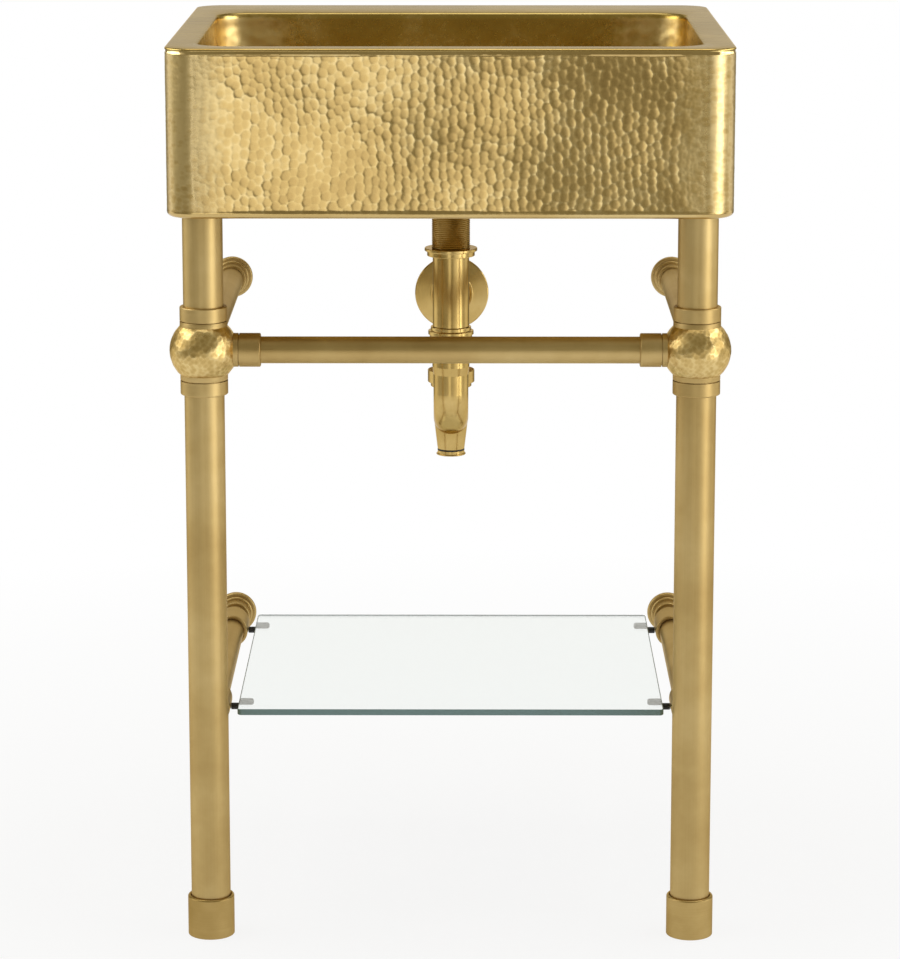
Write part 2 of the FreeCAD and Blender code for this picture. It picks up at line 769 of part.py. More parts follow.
def make_escutcheon():
    """The plate that covers the trap arm's hole in the wall, with a raised ring round the arm."""
    bore = waste_radius + slip
    recess = waste_radius + escutcheon_ring_gap
    ring = recess + escutcheon_ring
    edge = ring + escutcheon_brim
    recess_floor = escutcheon_ring_length - escutcheon_recess
    profile = [(bore, 0), (edge, 0), (edge, escutcheon_edge, escutcheon_edge / 2), (ring, escutcheon_rise),
               (ring, escutcheon_ring_length, collar_bevel), (recess, escutcheon_ring_length, collar_bevel),
               (recess, recess_floor), (bore, recess_floor)]
    return turned(profile, at(0, wall_y, arm_height), back * -1)


def make_pieces():
    """Every piece of the vanity by name; a list holds identical fixings."""
    pieces = {
        "bowl": make_bowl(),
        "apron": make_apron(),
        "drain_body": make_drain_body(),
        "drain_gasket": make_gasket(),
        "drain_locknut": make_locknut(),
        "stopper": make_stopper(),
        "stopper_seal": make_seal(),
        "stopper_guide": make_guide(),
        "tail_tube": make_tail(),
        "trap_bend": make_trap(),
        "trap_washers": [make_trap_washer(*joint) for joint in trap_joints().values()],
        "cleanout_plug": make_cleanout_plug(),
        "cleanout_washer": make_cleanout_washer(),
        "trap_arm": make_trap_arm(),
        "wall_escutcheon": make_escutcheon(),
        "front_rail": tube(rail_radius, rail_wall, 2 * (leg_x - rail_seat),
                           at(rail_seat - leg_x, leg_y, ball_height), across),
        "leg_top_plugs": make_leg_plugs(apron_bottom, leg_bolt_diameter / 2 + slip),
        "leg_bottom_plugs": make_leg_plugs(leg_foot_end + leg_plug_length, stud_diameter / 2 + running),
        "leg_bolts": make_leg_bolts(),
        "hanger_plugs": make_hanger_plugs(),
        "flange_set_screws": make_set_screws(),
        "glass_shelf": make_shelf(),
        "peg_collars": make_peg_collars(),
        "shelf_pegs": make_pegs(),
        "peg_sleeves": make_sleeves(),
    }
    for name, joint in trap_joints().items():
        pieces[name] = make_trap_nut(*joint)
    upper_start, lower_end = ball_height + leg_seat, ball_height - leg_seat
    for name, side in sides.items():
        foot_of_leg = at(side * leg_x, leg_y, leg_foot_end)
        pieces.update({
            f"{name}_upper_leg": tube(leg_radius, leg_wall, apron_bottom - upper_start,
                                      at(side * leg_x, leg_y, upper_start)),
            f"{name}_lower_leg": tube(leg_radius, leg_wall, lower_end - leg_foot_end, foot_of_leg),
            f"{name}_ball_joint": make_ball(side),
            f"{name}_upper_rail": make_side_rail(side, ball_height, rail_seat),
            f"{name}_shelf_rail": make_shelf_rail(side),
            f"{name}_shelf_rail_saddle": make_saddle(side),
            f"{name}_upper_wall_flange": make_flange(side, ball_height),
            f"{name}_lower_wall_flange": make_flange(side, shelf_rail_height),
            f"{name}_foot": make_foot(side),
            f"{name}_foot_stud": make_foot_stud(side),
        })
        for port in ball_ports(side):
            pieces[f"{name}_{port}_collar"] = make_collar(side, port)
    return pieces


os.makedirs("parts", exist_ok=True)
for name, shape in make_pieces().items():
    if isinstance(shape, list):
        shape = Part.makeCompound(shape)
    shape.exportStep(f"parts/{name}.step")
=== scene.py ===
"""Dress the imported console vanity.

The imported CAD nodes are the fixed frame. The hammered sheet of the basin, the hammered ball joints and the
threaded drain are modelled here and stand for their nodes. Every other node keeps its own solid and gets a
worked finish. A plain studio with the photograph's camera stands round it all. Lengths are in metres.
"""

from __future__ import annotations

import logging
import math
from dataclasses import dataclass, field
from enum import Enum
from functools import partial

import bpy
import numpy as np
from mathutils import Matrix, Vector, kdtree


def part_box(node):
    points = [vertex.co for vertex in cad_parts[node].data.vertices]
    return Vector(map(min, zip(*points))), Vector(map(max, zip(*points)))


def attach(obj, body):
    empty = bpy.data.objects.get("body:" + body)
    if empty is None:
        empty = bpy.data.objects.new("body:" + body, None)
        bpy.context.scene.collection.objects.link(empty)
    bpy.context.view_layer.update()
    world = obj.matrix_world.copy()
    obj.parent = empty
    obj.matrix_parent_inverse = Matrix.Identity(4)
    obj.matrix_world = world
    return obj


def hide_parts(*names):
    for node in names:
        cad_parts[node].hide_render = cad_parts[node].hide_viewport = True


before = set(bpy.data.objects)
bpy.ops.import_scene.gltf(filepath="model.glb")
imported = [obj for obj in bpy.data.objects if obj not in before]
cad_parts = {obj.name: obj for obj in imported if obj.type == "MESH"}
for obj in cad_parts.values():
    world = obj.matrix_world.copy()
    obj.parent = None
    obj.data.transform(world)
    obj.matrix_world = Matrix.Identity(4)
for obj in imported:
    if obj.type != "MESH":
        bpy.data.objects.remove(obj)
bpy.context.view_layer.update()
log = logging.getLogger("console_vanity")

Array = np.ndarray
Piece = bpy.types.Object
Material = bpy.types.Material
Socket = bpy.types.NodeSocket
Span = tuple[float, float]
Tone = tuple[float, float, float]
Place = tuple[float, float, float]
Wave = tuple[float, float, float]
Ring = tuple[Array, float]

WHITE: Tone = (1.0, 1.0, 1.0)
WHOLE: Span = (0.0, 1.0)
QUARTER = math.pi / 2
SIDES = (-1, 1)
NEIGHBOURS = (-1, 0, 1)
MERGE_GAP = 1e-6
BASIN_SHEET = 0.002
BASIN_CORNER = 0.028
SHEET_CREASE = 50.0


class Slot(Enum):
    """The record's material slots."""

    HAMMERED = "hammered_brass"
    SATIN = "satin_brass"
    POLISHED = "polished_brass"
    AGED = "aged_brass"
    GLASS = "glass"
    RUBBER = "rubber"
    STEEL = "steel"


class Grain(Enum):
    """How a metal surface was worked, as how finely its grain changes along x, y and z, per metre."""

    ALONG_X = (9.0, 700.0, 700.0)
    ALONG_Y = (700.0, 9.0, 700.0)
    ALONG_Z = (700.0, 700.0, 9.0)
    ROUND_X = (1300.0, 14.0, 14.0)
    ROUND_Y = (14.0, 1300.0, 14.0)
    ROUND_Z = (14.0, 14.0, 1300.0)
    BY_HAND = (210.0, 210.0, 210.0)


class Mark(Enum):
    """What a hammered sheet stores of its working at each point."""

    DENT = "dent"
    PLANED = "planed"


def smooth_step(value: Array, low: float, high: float) -> Array:
    """Ease from 0 at low to 1 at high."""
    share = np.clip((value - low) / (high - low), 0.0, 1.0)
    return share * share * (3.0 - 2.0 * share)


def ripple(along: Array, up: Array, wave: Wave) -> Array:
    """Give a wave over a sheet, from its radians per metre along and up the sheet and its phase."""
    return np.sin(along * wave[0] + up * wave[1] + wave[2])


def run_length(ring: Array) -> Array:
    """Give how far round a closed ring each of its points lies."""
    return np.cumsum(np.linalg.norm(np.diff(ring, axis=0, prepend=ring[-1:]), axis=1))[:, None]


def start_piece() -> None:
    """Deselect everything, so that the next operator acts on the new piece alone."""
    bpy.ops.object.select_all(action="DESELECT")


def close_piece() -> None:
    """Merge the active piece's doubled points, close its open ends and turn all its faces outwards."""
    bpy.ops.object.mode_set(mode="EDIT")
    bpy.ops.mesh.select_all(action="SELECT")
    bpy.ops.mesh.remove_doubles(threshold=MERGE_GAP)
    bpy.ops.mesh.fill_holes(sides=0)
    bpy.ops.mesh.normals_make_consistent(inside=False)
    bpy.ops.object.mode_set(mode="OBJECT")


def join_parts(parts: list[Piece], piece: Piece) -> None:
    """Join loose parts to a piece.

    Args:
        parts: the parts, which end as faces of the piece.
        piece: the piece, which stays.
    """
    start_piece()
    for part in [*parts, piece]:
        part.select_set(True)
    bpy.context.view_layer.objects.active = piece
    bpy.ops.object.join()


def folded_sheet(name: str, places: Array, marks: dict[Mark, Array], crease: float,
                 ring: bool = True) -> Piece:
    """Fold a flat grid round a section into a ring or a strip of metal.

    Args:
        name: the piece's name.
        places: the points, by column along the sheet, by row round its section, then x, y and z.
        marks: what the sheet stores of its working at each point.
        crease: the angle in degrees past which an edge stays sharp.
        ring: whether the last column meets the first one again.

    Returns:
        The sheet, closed all over, with its place in its mesh.
    """
    laps = ((0, int(ring)), (0, 1))
    closed = np.pad(places, (*laps, (0, 0)), mode="wrap")
    columns, rows = closed.shape[:2]
    start_piece()
    bpy.ops.mesh.primitive_grid_add(x_subdivisions=rows - 1, y_subdivisions=columns - 1)
    piece = bpy.context.object
    piece.name = piece.data.name = name
    piece.data.vertices.foreach_set("co", closed.astype(np.float32).ravel())
    for mark, values in marks.items():
        stored = piece.data.attributes.new(mark.value, "FLOAT", "POINT")
        stored.data.foreach_set("value", np.pad(values, laps, mode="wrap").astype(np.float32).ravel())
    close_piece()
    bpy.ops.object.shade_smooth_by_angle(angle=math.radians(crease))
    return piece


def dress(piece: Piece, *surfaces: Material) -> None:
    """Give a piece its materials, in place of any that it has.

    Args:
        piece: the piece.
        surfaces: the materials, in the order of the faces' numbers.
    """
    piece.data.materials.clear()
    for surface in surfaces:
        piece.data.materials.append(surface)


@dataclass(frozen=True)
class HammerMarks:
    """Dents that a round-faced hammer leaves in loose staggered rows over a sheet laid flat.

    Each mark lies in a cell, across by up. It wanders by a share of its cell, and the rows drift by a length.
    """

    across: float = 0.0074
    up: float = 0.0082
    depth: float = 0.00017
    reach: float = 0.0057
    bluntness: float = 3.2
    wander: float = 0.2
    drift: float = 0.002
    drift_across: Wave = (29.0, 51.0, 0.0)
    drift_up: Wave = (43.0, -37.0, 1.0)
    stagger: float = 0.5
    slip: float = 0.25
    weakest_blow: float = 0.75
    blow_range: float = 0.5
    mean: float = 0.78
    seed: float = 3.0
    scatter: tuple[float, ...] = (127.1, 311.7, 74.7, 19.3)
    scatter_gain: float = 43758.5453

    def chance(self, column: Array, row: Array, turn: float) -> Array:
        """Give each mark the number for a turn, from 0 to 1 and the same on every run."""
        phase = sum(step * part for step, part in zip(self.scatter, (column, row, turn, self.seed)))
        return np.mod(np.sin(phase) * self.scatter_gain, 1.0)

    def stray(self, column: Array, row: Array, turn: float) -> Array:
        """Give how far each mark wanders one way, as a share of its cell."""
        return self.wander * (2 * self.chance(column, row, turn) - 1)

    def depths(self, across: Array, up: Array) -> Array:
        """Work out how deep the sheet is dented.

        Args:
            across: places along the sheet.
            up: places up the sheet.

        Returns:
            The depth at each place.
        """
        across, up = (across + self.drift * ripple(across, up, self.drift_across),
                      up + self.drift * ripple(across, up, self.drift_up))
        column = np.floor(across / self.across)
        deepest = np.zeros(np.broadcast(across, up).shape)
        for beside in NEIGHBOURS:
            chain = column + beside
            start = self.stagger * np.mod(chain, 2) + self.slip * self.chance(chain, 0 * chain, 1.0)
            row = np.floor(up / self.up - start)
            for above in NEIGHBOURS:
                mark = row + above
                aside = across - (chain + 0.5 + self.stray(chain, mark, 2.0)) * self.across
                along = up - (mark + start + 0.5 + self.stray(chain, mark, 3.0)) * self.up
                gap = np.hypot(aside, along * self.across / self.up)
                blow = self.depth * (self.weakest_blow + self.blow_range * self.chance(chain, mark, 4.0))
                deepest = np.maximum(deepest, blow - self.depth * (gap / self.reach) ** self.bluntness)
        return deepest

    def patina(self, depths: Array) -> Array:
        """Give how much deeper than the average the sheet is dented, as a share of a mark's depth."""
        return depths / self.depth - self.mean


@dataclass(frozen=True)
class Track:
    """The columns of a ring of sheet, as how many run along each part of a rounded rectangle."""

    front: int
    front_corner: int
    side: int
    back_corner: int
    back: int
    straight_sweep: float = 30.0
    corner_sweep: float = 60.0

    def runs(self) -> tuple[int, ...]:
        """Give the counts from the front run on, anticlockwise from above, with a corner after each run."""
        return (self.front, self.front_corner, self.side, self.back_corner,
                self.back, self.back_corner, self.side, self.front_corner)

    def lay(self, half: float, front: float, back: float, radius: float) -> tuple[Array, Array]:
        """Lay the columns on a rounded rectangle.

        Args:
            half: half its width.
            front: the y of its front.
            back: the y of its back.
            radius: its corners' radius.

        Returns:
            Each column's x and y, and its outward direction.
        """
        x, low, high = half - radius, front + radius, back - radius
        centres = np.array([(-x, low), (x, low), (x, high), (-x, high), (-x, low)])
        places, ways = [], []
        for run, count in enumerate(self.runs()):
            quarter, corner = divmod(run, 2)
            share = np.arange(count)[:, None] / count
            turn = QUARTER * (quarter - 1 + share * corner)
            ways.append(np.hstack([np.cos(turn), np.sin(turn)]))
            start, end = centres[quarter], centres[quarter + 1]
            places.append((end if corner else start + (end - start) * share) + radius * ways[-1])
        return np.vstack(places), np.vstack(ways)

    def lay_round(self, centre: Span, radius: float) -> Array:
        """Lay the columns on a circle, a third of a quarter to each straight run, the rest to corners.

        Args:
            centre: the circle's x and y.
            radius: its radius.

        Returns:
            Each column's x and y.
        """
        turn, angles = -QUARTER - math.radians(self.straight_sweep) / 2, []
        for run, count in enumerate(self.runs()):
            sweep = math.radians(self.corner_sweep if run % 2 else self.straight_sweep)
            angles.append(turn + sweep * np.arange(count) / count)
            turn += sweep
        angle = np.concatenate(angles)
        return np.array(centre) + radius * np.column_stack([np.cos(angle), np.sin(angle)])


class NodeTree:
    """A material's or a world's nodes, with short ways to add and join them."""

    def __init__(self, owner: Material | bpy.types.World) -> None:
        """Start with no nodes.

        Args:
            owner: the material or world.
        """
        owner.use_nodes = True
        self.owner = owner
        self.tree = owner.node_tree
        self.tree.nodes.clear()

    def add(self, kind: str, *values: object, operation: str = "", **named: object) -> bpy.types.Node:
        """Add a node and fill its inputs with plain values or from output sockets.

        Args:
            kind: the node's type, without the word ShaderNode.
            values: what goes into its first inputs, in their order.
            operation: what a math node does, if it isn't to add.
            named: what goes into inputs by name, with _ for a space.

        Returns:
            The node.
        """
        node = self.tree.nodes.new("ShaderNode" + kind)
        if operation:
            node.operation = operation
        by_name = [(node.inputs[name.replace("_", " ")], value) for name, value in named.items()]
        for socket, value in [*zip(node.inputs, values), *by_name]:
            if isinstance(value, Socket):
                self.tree.links.new(value, socket)
            else:
                socket.default_value = value
        return node

    def noise(self, where: Socket, scale: float, detail: float, roughness: float = 0.5) -> Socket:
        """Add a cloudy pattern, from its fineness, the number of its finer layers and their strength."""
        node = self.add("TexNoise", Vector=where, Scale=scale, Detail=detail, Roughness=roughness)
        return node.outputs["Fac"]

    def stored(self, mark: Mark) -> Socket:
        """Read what the piece stores under a mark's name.

        Args:
            mark: the mark.

        Returns:
            The stored pattern's socket.
        """
        node = self.add("Attribute")
        node.attribute_name = mark.value
        return node.outputs["Fac"]

    def spread(self, value: Socket, start: Span, end: tuple[object, object]) -> Socket:
        """Map the range of a pattern to another range, of numbers or sockets."""
        ends = {"From_Min": start[0], "From_Max": start[1], "To_Min": end[0], "To_Max": end[1]}
        return self.add("MapRange", Value=value, **ends).outputs[0]

    def sum(self, first: Socket, share: float, second: Socket) -> Socket:
        """Add a share of the first pattern to the second one."""
        return self.add("Math", first, share, second, operation="MULTIPLY_ADD").outputs[0]

    def blend(self, factor: Socket, tones: list[tuple[float, Tone]]) -> Socket:
        """Turn a pattern into a colour.

        Args:
            factor: the pattern.
            tones: where on the pattern each tone lies.

        Returns:
            The colour's socket.
        """
        ramp = self.add("ValToRGB", Fac=factor)
        stops = ramp.color_ramp.elements
        while len(stops) < len(tones):
            stops.new(1.0)
        for stop, (place, tone) in zip(stops, tones):
            stop.position = place
            stop.color = (*tone, 1.0)
        return ramp.outputs["Color"]

    def finish(self, **shaders: Socket) -> Material | bpy.types.World:
        """Show the shaders, by the output's input names, and give the owner back."""
        self.add("OutputWorld" if isinstance(self.owner, bpy.types.World) else "OutputMaterial", **shaders)
        return self.owner


@dataclass(frozen=True)
class Brass:
    """A brass surface: its tones from shade to gleam, its gloss, and the marks of its working.

    Its pattern is a sum of clouds, finer mottles and the grain of its working. Hollows that a hammer left are
    darker, and planed stretches are duller and painted paler as a painted highlight.
    """

    name: str
    shade: Tone
    body: Tone
    gleam: Tone
    roughness: float
    spread: float
    clouds: float
    grain_depth: float
    lacquer: float = 0.0
    lacquer_roughness: float = 0.12
    stops: Tone = (0.5, 0.76, 1.0)
    paling: float = 0.42
    mottle_scale: float = 6.0
    mottle_share: float = 0.25
    grain_share: float = 0.25
    grain_range: Span = (0.3, 0.7)
    grain_height: float = 0.0002
    hollow_share: float = -0.5
    planed_painted_highlight: float = 0.2
    planed_dulling: float = 0.17

    def glance(self) -> Tone:
        """Give the tone at a glancing angle, part of the way from the gleam to white."""
        return tuple(self.paling + (1 - self.paling) * share for share in self.gleam)

    def material(self, grain: Grain, marked: bool = False) -> Material:
        """Make the surface for one way of working it.

        Args:
            grain: how the surface was worked.
            marked: whether the piece stores its hammer marks.

        Returns:
            The material, made once for each name.
        """
        name = "_".join([self.name, grain.name.lower()] + [Mark.DENT.value] * marked)
        if name in bpy.data.materials:
            return bpy.data.materials[name]
        nodes = NodeTree(bpy.data.materials.new(name))
        where = nodes.add("TexCoord").outputs["Object"]
        cloud = nodes.noise(where, self.clouds, 2.0)
        mottle = nodes.noise(where, self.clouds * self.mottle_scale, 3.0)
        line = nodes.noise(nodes.add("Mapping", Vector=where, Scale=grain.value).outputs[0], 1.0, 4.0, 0.65)
        tone = nodes.sum(mottle, self.mottle_share, cloud)
        tone = nodes.sum(line, self.grain_share, tone)
        gloss = nodes.spread(line, self.grain_range,
                             (self.roughness - self.spread, self.roughness + self.spread))
        if marked:
            planed = nodes.stored(Mark.PLANED)
            tone = nodes.sum(nodes.stored(Mark.DENT), self.hollow_share, tone)
            # Planed stretches are painted paler: a painted highlight.
            tone = nodes.sum(planed, self.planed_painted_highlight, tone)
            gloss = nodes.sum(planed, self.planed_dulling, gloss)
        colour = nodes.blend(tone, list(zip(self.stops, (self.shade, self.body, self.gleam))))
        relief = nodes.add("Bump", Height=line, Strength=self.grain_depth, Distance=self.grain_height)
        shader = nodes.add("BsdfPrincipled", Base_Color=colour, Metallic=1.0, Roughness=gloss,
                           Normal=relief.outputs[0], Specular_Tint=(*self.glance(), 1.0),
                           Coat_Weight=self.lacquer, Coat_Roughness=self.lacquer_roughness)
        return nodes.finish(Surface=shader.outputs[0])


@dataclass(frozen=True)
class Glass:
    """Clear float glass with a few faint smears and ground edges that gather the glass's green."""

    name: str
    clear: Tone
    edge: Tone
    depth_tone: Tone
    density: float
    refraction: float = 1.5
    smears: float = 9.0
    smear_share: float = 0.05
    smear_range: Span = (0.45, 0.8)
    smear_gloss: Span = (0.0, 0.03)
    level_range: Span = (0.8, 0.95)

    def material(self) -> Material:
        """Make the glass, clear where it lies level and ground where it stands upright.

        Returns:
            The material.
        """
        nodes = NodeTree(bpy.data.materials.new(self.name))
        smear = nodes.noise(nodes.add("TexCoord").outputs["Object"], self.smears, 3.0)
        gloss = nodes.spread(smear, self.smear_range, self.smear_gloss)
        facing = nodes.add("SeparateXYZ", Vector=nodes.add("NewGeometry").outputs["Normal"])
        level = nodes.add("Math", facing.outputs["Z"], operation="ABSOLUTE").outputs[0]
        ground, clear = self.level_range
        tint = nodes.blend(nodes.sum(smear, self.smear_share, level),
                           [(0.1, self.edge), (ground, self.edge), (clear, self.clear)])
        shader = nodes.add("BsdfPrincipled", Base_Color=tint, Roughness=gloss, IOR=self.refraction,
                           Transmission_Weight=nodes.spread(level, self.level_range, WHOLE))
        absorb = nodes.add("VolumeAbsorption", Color=(*self.depth_tone, 1.0), Density=self.density)
        return nodes.finish(Surface=shader.outputs[0], Volume=absorb.outputs[0])


@dataclass(frozen=True)
class Plain:
    """A small part's plain stuff, rubber or plated steel, with a speckled tone and uneven gloss."""

    name: str
    dark: Tone
    light: Tone
    metallic: float
    roughness: float
    speckle: float
    spread: float = 0.08
    stops: Span = (0.35, 0.7)
    speck_depth: float = 0.15
    speck_height: float = 0.0002

    def material(self) -> Material:
        """Make the stuff.

        Returns:
            The material.
        """
        nodes = NodeTree(bpy.data.materials.new(self.name))
        speck = nodes.noise(nodes.add("TexCoord").outputs["Object"], self.speckle, 4.0)
        colour = nodes.blend(speck, list(zip(self.stops, (self.dark, self.light))))
        gloss = nodes.spread(speck, WHOLE, (self.roughness - self.spread, self.roughness + self.spread))
        relief = nodes.add("Bump", Height=speck, Strength=self.speck_depth, Distance=self.speck_height)
        shader = nodes.add("BsdfPrincipled", Base_Color=colour, Metallic=self.metallic, Roughness=gloss,
                           Normal=relief.outputs[0])
        return nodes.finish(Surface=shader.outputs[0])


HAMMERED = Brass("hammered_brass", (0.48, 0.325, 0.105), (0.575, 0.405, 0.144), (0.69, 0.525, 0.235),
                 0.13, 0.02, 7.0, 0.03, 0.8)
BALL = Brass("ball_brass", (0.52, 0.36, 0.125), (0.63, 0.45, 0.175), (0.73, 0.55, 0.24),
             0.3, 0.04, 20.0, 0.05)
# The bowl's inside is a darker copy of the brass as painted shade, with a paler gleam that the planed corners
# reach as a painted highlight.
BOWL_SHADE_AND_HIGHLIGHT = Brass("bowl_brass", (0.34, 0.22, 0.046), (0.445, 0.30, 0.07), (0.70, 0.54, 0.24),
             0.25, 0.04, 7.0, 0.03)
# The rim's top is a darker copy of the brass as painted shade.
RIM_PAINTED_SHADE = Brass("rim_brass", (0.32, 0.225, 0.07), (0.405, 0.293, 0.098), (0.51, 0.38, 0.135),
            0.27, 0.04, 9.0, 0.04)
SATIN = Brass("satin_brass", (0.45, 0.305, 0.112), (0.54, 0.386, 0.156), (0.63, 0.472, 0.212),
              0.42, 0.04, 11.0, 0.025)
POLISHED = Brass("polished_brass", (0.43, 0.285, 0.085), (0.57, 0.40, 0.14), (0.70, 0.52, 0.22),
                 0.22, 0.05, 16.0, 0.05)
# Dark aged brass; on the drain's threaded tail its darkness is partly painted shade for the shadow under the
# basin.
AGED = Brass("aged_brass", (0.29, 0.185, 0.05), (0.47, 0.315, 0.105), (0.59, 0.41, 0.15),
             0.36, 0.07, 24.0, 0.12)
# The feet's brass is darker than the legs' satin brass: painted shade where they stand at the floor.
FERRULE_PAINTED_SHADE = Brass("ferrule_brass", (0.39, 0.26, 0.085), (0.48, 0.33, 0.12), (0.58, 0.42, 0.17),
                0.33, 0.04, 14.0, 0.03)
GLASS = Glass("shelf_glass", (0.88, 0.91, 0.92), (0.185, 0.305, 0.325), (0.42, 0.66, 0.66), 2.4)
RUBBER = Plain("black_rubber", (0.008, 0.008, 0.009), (0.028, 0.027, 0.027), 0.0, 0.55, 900.0)
STEEL = Plain("plated_steel", (0.34, 0.34, 0.33), (0.58, 0.58, 0.57), 1.0, 0.32, 300.0)


@dataclass
class Skirt:
    """The hammered sheet round the basin, with a rolled hem, planed corners and webs for the legs."""

    hem: float = 0.005
    hem_width: float = 0.020
    hem_steps: int = 7
    face_rows: int = 140
    edge_fade: Span = (-0.001, 0.003)
    seam_width: float = 0.0024
    seam_depth: float = 0.0007
    lip: float = 0.0006
    lip_depth: float = 0.0002
    leg_web: float = 0.076
    lap: int = 6
    side_facing: float = 0.9
    back_facing: float = 0.4
    front_plane: float = -0.012
    side_plane: float = 0.01
    plane_fade: float = 0.05
    sway: float = 0.00035
    sway_waves: tuple[Wave, Wave] = ((31.0, 22.0, 1.3), (-13.0, 37.0, 0.4))
    screw_inset: float = 0.075
    screw_drop: float = 0.070
    screw_radius: float = 0.004
    track: Track = Track(front=440, front_corner=30, side=290, back_corner=8, back=16)
    marks: HammerMarks = HammerMarks()
    plane_marks: HammerMarks = HammerMarks(across=0.0068, up=0.0044, depth=0.0002, reach=0.0052, seed=5.0)

    def build(self) -> list[Piece]:
        """Build and dress the skirt.

        Returns:
            The front with its corners, and the surround that meets it a little behind them.
        """
        places, marks = self.hammered()
        first = -self.track.front_corner - self.lap
        last = self.track.front - first
        spans = {"hammered_front": (first, last), "hammered_surround": (last, len(places) + first)}
        pieces = []
        for name, (start, end) in spans.items():
            span = np.arange(start, end + 1) % len(places)
            stored = {mark: values[span] for mark, values in marks.items()}
            pieces.append(folded_sheet(name, places[span], stored, SHEET_CREASE, ring=False))
        self.add_webs(pieces[0])
        for side in SIDES:
            self.drill(pieces[1], side)
        for piece in pieces:
            dress(piece, HAMMERED.material(Grain.BY_HAND, marked=True))
            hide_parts("apron")
            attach(piece, "stand")
        return pieces

    def section(self) -> Array:
        """Draw the skirt's section, down its face, round the hem and up inside.

        Returns:
            Rows of distance out from the face, height, and the share of hammering.
        """
        bottom, top = (corner[2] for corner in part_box("apron"))
        turn = np.linspace(0, QUARTER, self.hem_steps)
        seam = top - self.seam_width
        face = np.linspace(seam - 2 * self.lip, bottom + self.hem, self.face_rows)
        share = smooth_step(seam - face, *self.edge_fade)
        share = share * smooth_step(face - bottom - self.hem, *self.edge_fade)
        inner = self.hem - BASIN_SHEET
        rows = [(-self.seam_depth, top, 0), (-self.seam_depth, seam, 0)]
        rows += [(-self.lip_depth, seam - self.lip, 0), *zip(0 * face, face, share)]
        rows += [(self.hem * (math.cos(t) - 1), bottom + self.hem * (1 - math.sin(t)), 0) for t in turn[1:]]
        rows += [(-self.hem_width, bottom, 0), (-self.hem_width, bottom + BASIN_SHEET, 0)]
        rows += [(inner * math.cos(t) - self.hem, bottom + self.hem - inner * math.sin(t), 0)
                 for t in turn[::-3]]
        rows += [(-BASIN_SHEET, height, 0) for height in (bottom + 2 * self.hem, top)]
        return np.array(rows)

    def hammered(self) -> tuple[Array, dict[Mark, Array]]:
        """Hammer the face, which dents it and sways it inwards, and plane its corners.

        Returns:
            The points, by column and by row of the section, and what the sheet stores at each.
        """
        low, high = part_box("apron")
        base, way = self.track.lay(high[0], low[1], high[1], BASIN_CORNER)
        section = self.section()
        run, height = run_length(base), section[None, :, 1]
        run = np.where(run > run[-1] / 2, run - run[-1], run)
        on_side = abs(way[:, 0]) > self.side_facing
        inset = np.where(on_side, np.minimum(base[:, 1] - low[1], high[1] - base[:, 1]),
                         high[0] - abs(base[:, 0])) - BASIN_CORNER
        start = np.where(on_side, self.side_plane, self.front_plane)
        fade = smooth_step(inset - start, 0.0, self.plane_fade)
        worked = (way[:, 1] < self.back_facing)[:, None] * section[None, :, 2]
        hammered, planed = fade[:, None] * worked, (1 - fade)[:, None] * worked
        dents, strokes = self.marks.depths(run, height), self.plane_marks.depths(run, height)
        first, second = (ripple(run, height, wave) for wave in self.sway_waves)
        sway = self.sway * (1 + first * second)
        offset = section[None, :, 0] - (dents + sway) * hammered - strokes * planed
        places = np.concatenate([base[:, None] + way[:, None] * offset[..., None],
                                 np.broadcast_to(height, offset.shape)[..., None]], axis=2)
        patina = self.marks.patina(dents) * hammered + self.plane_marks.patina(strokes) * planed
        return places, {Mark.DENT: patina, Mark.PLANED: planed}

    def drill(self, piece: Piece, side: int) -> None:
        """Cut a screw hole through the skirt's back.

        Args:
            piece: the piece to cut.
            side: -1 for the left hole and 1 for the right one.
        """
        x, y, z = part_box("apron")[1]
        centre = (side * (x - self.screw_inset), y, z + BASIN_SHEET - self.screw_drop)
        start_piece()
        bpy.ops.mesh.primitive_cylinder_add(vertices=48, radius=self.screw_radius, depth=self.hem_width,
                                            location=centre, rotation=(QUARTER, 0, 0))
        bit = bpy.context.object
        start_piece()
        piece.select_set(True)
        bpy.context.view_layer.objects.active = piece
        cut = piece.modifiers.new("hole", "BOOLEAN")
        cut.operation = "DIFFERENCE"
        cut.object = bit
        bpy.ops.object.modifier_apply(modifier=cut.name)
        bpy.data.objects.remove(bit)

    def add_webs(self, skirt: Piece) -> None:
        """Add the flat webs that carry the legs to the skirt's front corners.

        Args:
            skirt: the skirt's front.
        """
        low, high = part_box("apron")
        x, y, bottom = high[0] - self.hem_width, low[1] + self.hem_width, low[2]
        outer, inner = (x + BASIN_SHEET, y - BASIN_SHEET), (x - self.leg_web, y + self.leg_web)
        corners = (outer, (outer[0], inner[1]), (inner[0], outer[1]))
        webs = []
        for side in SIDES:
            start_piece()
            bpy.ops.mesh.primitive_circle_add(vertices=len(corners), radius=self.leg_web, fill_type="NGON")
            webs.append(bpy.context.object)
            for vertex, (across, along) in zip(webs[-1].data.vertices, corners):
                vertex.co = (side * across, along, bottom)
            bpy.ops.object.mode_set(mode="EDIT")
            bpy.ops.mesh.select_all(action="SELECT")
            bpy.ops.mesh.extrude_region_move(TRANSFORM_OT_translate={"value": (0, 0, BASIN_SHEET)})
            bpy.ops.object.mode_set(mode="OBJECT")
            close_piece()
        join_parts(webs, skirt)


